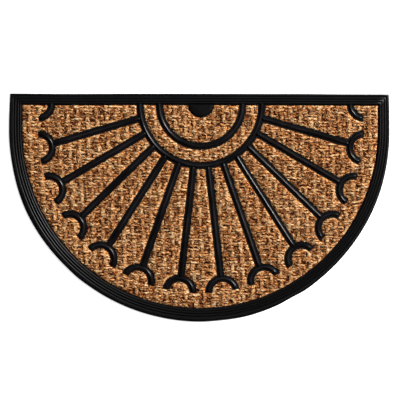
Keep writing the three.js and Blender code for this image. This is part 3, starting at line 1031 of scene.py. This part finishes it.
def fibre_tree(material):
    """Loose fibres over the yarns, most of them along the yarn that they come from."""
    tree, given = new_tree(
        "loose fibres", Bed=object, Outline=object, Turn=float, Density=float, Lift=float, Seed=int
    )
    bed = add(tree, "GeometryNodeObjectInfo", {"Object": given["Bed"]}, "Geometry")
    outline = add(tree, "GeometryNodeObjectInfo", {"Object": given["Outline"]}, "Geometry")
    normal = add(tree, "GeometryNodeInputNormal", output="Normal")
    up = add(tree, "ShaderNodeSeparateXYZ", {"Vector": normal}, "Z")
    upward = add(tree, "FunctionNodeCompare", {"A": up, "B": FACES_UP}, operation="GREATER_THAN")
    points = add(
        tree,
        "GeometryNodeDistributePointsOnFaces",
        {
            "Mesh": given["Geometry"],
            "Selection": upward,
            "Density": given["Density"],
            "Seed": given["Seed"],
        },
        distribute_method="RANDOM",
    )
    lift = add(tree, "ShaderNodeCombineXYZ", {"Z": given["Lift"]})
    lifted = add(tree, "GeometryNodeSetPosition", {"Geometry": points, "Offset": lift})
    askew = drawn(tree, FIBRE_DRAWS["turn"])
    mostly_small = add(tree, "ShaderNodeMath", {0: askew, 1: FIBRE_TURN["power"]}, operation="POWER")
    off_yarn = add(tree, "ShaderNodeMath", {0: mostly_small, 1: FIBRE_TURN["most"]}, operation="MULTIPLY")
    chance = {"Probability": 0.5, "Seed": FLIP_SEED}
    flip = add(tree, "FunctionNodeRandomValue", chance, data_type="BOOLEAN")
    half_turn = add(tree, "ShaderNodeMath", {0: flip, 1: math.pi}, operation="MULTIPLY")
    turned = add(tree, "ShaderNodeMath", {0: off_yarn, 1: half_turn}, operation="ADD")
    turn = add(tree, "ShaderNodeMath", {0: turned, 1: given["Turn"]}, operation="ADD")
    roll = drawn(tree, FIBRE_DRAWS["roll"])
    pitch = drawn(tree, FIBRE_DRAWS["pitch"])
    euler = add(tree, "ShaderNodeCombineXYZ", {"X": roll, "Y": pitch, "Z": turn})
    size = drawn(tree, FIBRE_DRAWS["size"])
    fibres = add(
        tree,
        "GeometryNodeInstanceOnPoints",
        {"Points": lifted, "Instance": one_fibre(tree), "Rotation": euler, "Scale": size},
    )
    tint = drawn(tree, FIBRE_DRAWS["tint"])
    tinted = add(
        tree,
        "GeometryNodeStoreNamedAttribute",
        {"Geometry": fibres, "Name": "tint", "Value": tint},
        domain="INSTANCE",
    )
    whole = add(tree, "GeometryNodeRealizeInstances", {"Geometry": tinted})
    rough = shaken(tree, whole, "fibres")
    end_tree(tree, pressed_in(tree, rough, bed, outline), material)
    return tree


def make_coir():
    """The matting: a bed with the coir's outline, yarns both ways, and the fibres that they shed."""
    weft_coir = coir("Coir yarn laid along the mat", stretch=(0.3, 1.0, 1.0))
    warp_coir = coir("Coir yarn laid across the mat", stretch=(0.35, 0.9, 1.0), pale=0.2)
    bed = coir_bed(coir("Coir ground, in shade between yarns", stretch=(1.0, 1.0, 1.0)))
    outline = outline_of(bed)
    cutter = yarn_cutter(bed)
    along, across = 0.0, math.pi / 2
    yarns = {}
    for name, material, yarn, turn, parity in (
        ("coir_weft", weft_coir, WEFT, along, 0),
        ("coir_warp", warp_coir, WARP, across, 1),
    ):
        places = weave_points(name + "_places", yarn, parity)
        section = ply_section(name + "_section", yarn["width"])
        given = {"Bed": bed, "Outline": outline, "Cutter": cutter, "Section": section, "Turn": turn}
        yarns[name] = in_fixed_order(grow(weave_tree(material, yarn), places, name, **given))
        remove(places, section)
    fibres = []
    for name, base, kind, material, turn, lift, seed in (
        ("coir_weft_fibres", yarns["coir_weft"], "yarn", weft_coir, along, 0.0, 1),
        ("coir_warp_fibres", yarns["coir_warp"], "yarn", warp_coir, across, 0.0, 2),
        ("coir_stray_fibres", bed, "stray", weft_coir, along, STRAY_LIFT, 3),
    ):
        given = {"Bed": bed, "Outline": outline, "Turn": turn, "Lift": lift * MM, "Seed": seed}
        given["Density"] = FIBRES_PER_SQUARE_METRE[kind]
        fibres.append(grow(fibre_tree(material), base, name, **given))
    remove(outline, cutter)
    return bed, [*yarns.values(), *fibres]


# The studio


def make_floor():
    """A plain white floor, lit from within, a hair below the mat so that the two faces don't flicker."""
    material, _, _ = new_material(
        "White light table",
        Base_Color=linear("fafafa"),
        Roughness=0.9,
        Emission_Color=linear("ffffff"),
        Emission_Strength=0.8,
    )
    reach, height = FLOOR["reach"], -FLOOR["below"]
    corners = [(-reach, -reach), (reach, -reach), (reach, reach), (-reach, reach)]
    floor = mesh_object("floor", [(*corner, height) for corner in corners], faces=[(0, 1, 2, 3)])
    floor.data.materials.append(material)
    floor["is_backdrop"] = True


def make_light():
    """A large soft light from the upper right, and a dim room that is brighter on the lamp's side."""
    light = bpy.data.lights.new("key", "AREA")
    light.shape = "DISK"
    light.size = LAMP["size"]
    light.energy = LAMP["power"]
    light.color = LAMP["colour"]
    lamp = bpy.data.objects.new("key", light)
    turn, rise, away = math.radians(LAMP["turn"]), math.radians(LAMP["rise"]), LAMP["away"]
    lamp.location = (
        away * math.cos(rise) * math.cos(turn),
        away * math.cos(rise) * math.sin(turn),
        away * math.sin(rise),
    )
    lamp.rotation_euler = (-lamp.location).to_track_quat("-Z", "Y").to_euler()
    bpy.context.scene.collection.objects.link(lamp)
    world = bpy.data.worlds.new("studio")
    bpy.context.scene.world = world
    world.use_nodes = True
    tree = world.node_tree
    background = tree.nodes["Background"]
    place = add(tree, "ShaderNodeTexCoord", output="Generated")
    lean = (-ROOM["lean"] * math.cos(turn), -ROOM["lean"] * math.sin(turn), 1.0)
    away_from_lamp = add(tree, "ShaderNodeVectorMath", {0: place, 1: lean}, "Value", operation="DOT_PRODUCT")
    dim = add(tree, "ShaderNodeMath", {0: away_from_lamp, 1: ROOM["lean"]})
    tree.links.new(ramp(tree, dim, ROOM_SHADES), background.inputs["Color"])
    background.inputs["Strength"].default_value = ROOM["strength"]


def make_camera():
    """Straight above, with the photograph's frame as wide as it is at the height of the mat's face."""
    data = bpy.data.cameras.new("camera")
    data.lens = CAMERA["lens"]
    data.clip_end = CAMERA["sees"]
    camera = bpy.data.objects.new("camera", data)
    height = CAMERA["face_height"] + CAMERA["frame_width"] * data.lens / data.sensor_width
    camera.location = (CAMERA["x"] * MM, CAMERA["y"] * MM, height * MM)
    bpy.context.scene.collection.objects.link(camera)
    bpy.context.scene.camera = camera
    bpy.context.scene.view_settings.view_transform = "Standard"


make_camera()
make_floor()
make_light()
rubber = make_rubber()
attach(rubber, "root")
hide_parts(RUBBER_NODE)
bed, laid_on_bed = make_coir()
for piece in (bed, *laid_on_bed):
    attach(piece, "root")
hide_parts(*COIR_NODES)
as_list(laid_on_bed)
for piece in (rubber, bed, *laid_on_bed):
    print(piece.name, sum(len(p.vertices) - 2 for p in piece.data.polygons), "triangles")

boxes = {"cad": CAD_BOX, "visual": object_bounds()}
{name: [list(corner) for corner in box] for name, box in boxes.items()}
